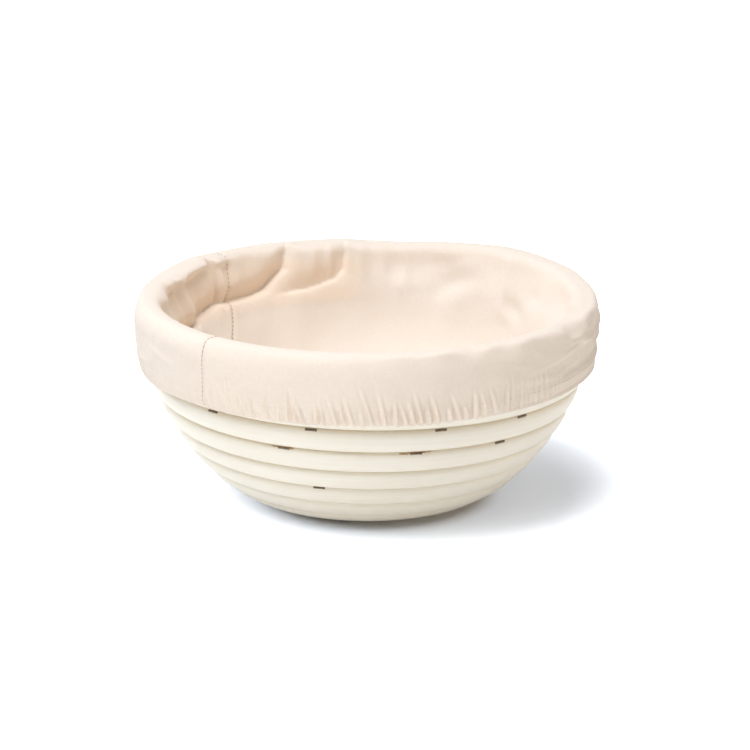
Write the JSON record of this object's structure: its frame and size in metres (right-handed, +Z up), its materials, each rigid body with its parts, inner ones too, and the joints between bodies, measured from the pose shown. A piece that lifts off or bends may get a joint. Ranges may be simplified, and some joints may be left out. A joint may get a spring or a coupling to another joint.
{
  "type": "proofing basket",
  "caption": "Round dough-proofing basket of spirally wound cane, with a removable cloth liner that turns over the rim and is held by an elastic hem.",
  "frame": {"origin": "centre of the base, on the table it stands on", "axes": "+Z up; -Y towards the viewer of the picture, +X to the right in it"},
  "size_m": [0.199, 0.199, 0.0879],
  "materials": {
    "cane": "satin natural peeled cane",
    "staple_wire": "dulled and browned wire",
    "cloth": "matt unbleached plain weave",
    "elastic": "woven elastic"
  },
  "bodies": {
    "basket": {"base_cane": "cane", "lower_wall_cane": "cane", "upper_wall_cane": "cane", "staple_01": "staple_wire", "staple_02": "staple_wire", "staple_03": "staple_wire", "staple_04": "staple_wire", "staple_05": "staple_wire", "staple_06": "staple_wire", "staple_07": "staple_wire", "staple_08": "staple_wire", "staple_09": "staple_wire", "staple_10": "staple_wire", "staple_11": "staple_wire", "staple_12": "staple_wire", "staple_13": "staple_wire", "staple_14": "staple_wire", "staple_15": "staple_wire", "staple_16": "staple_wire", "staple_17": "staple_wire", "staple_18": "staple_wire", "staple_19": "staple_wire", "staple_20": "staple_wire", "staple_21": "staple_wire", "staple_22": "staple_wire", "staple_23": "staple_wire", "staple_24": "staple_wire", "staple_25": "staple_wire", "staple_26": "staple_wire", "staple_27": "staple_wire", "staple_28": "staple_wire", "staple_29": "staple_wire", "staple_30": "staple_wire", "staple_31": "staple_wire", "staple_32": "staple_wire", "staple_33": "staple_wire", "staple_34": "staple_wire", "staple_35": "staple_wire", "staple_36": "staple_wire", "staple_37": "staple_wire", "staple_38": "staple_wire"},
    "liner": {"cup_main_panel": "cloth", "cup_side_panel": "cloth", "skirt_main_panel": "cloth", "skirt_side_panel": "cloth", "hem_elastic": "elastic"}
  },
  "joints": [
    {"name": "liner_lift", "type": "slide", "parent": "basket", "child": "liner", "axis": [0, 0, 1], "range_m": [0, 0.1], "deforming": ["skirt_main_panel", "skirt_side_panel", "hem_elastic"]}
  ]
}
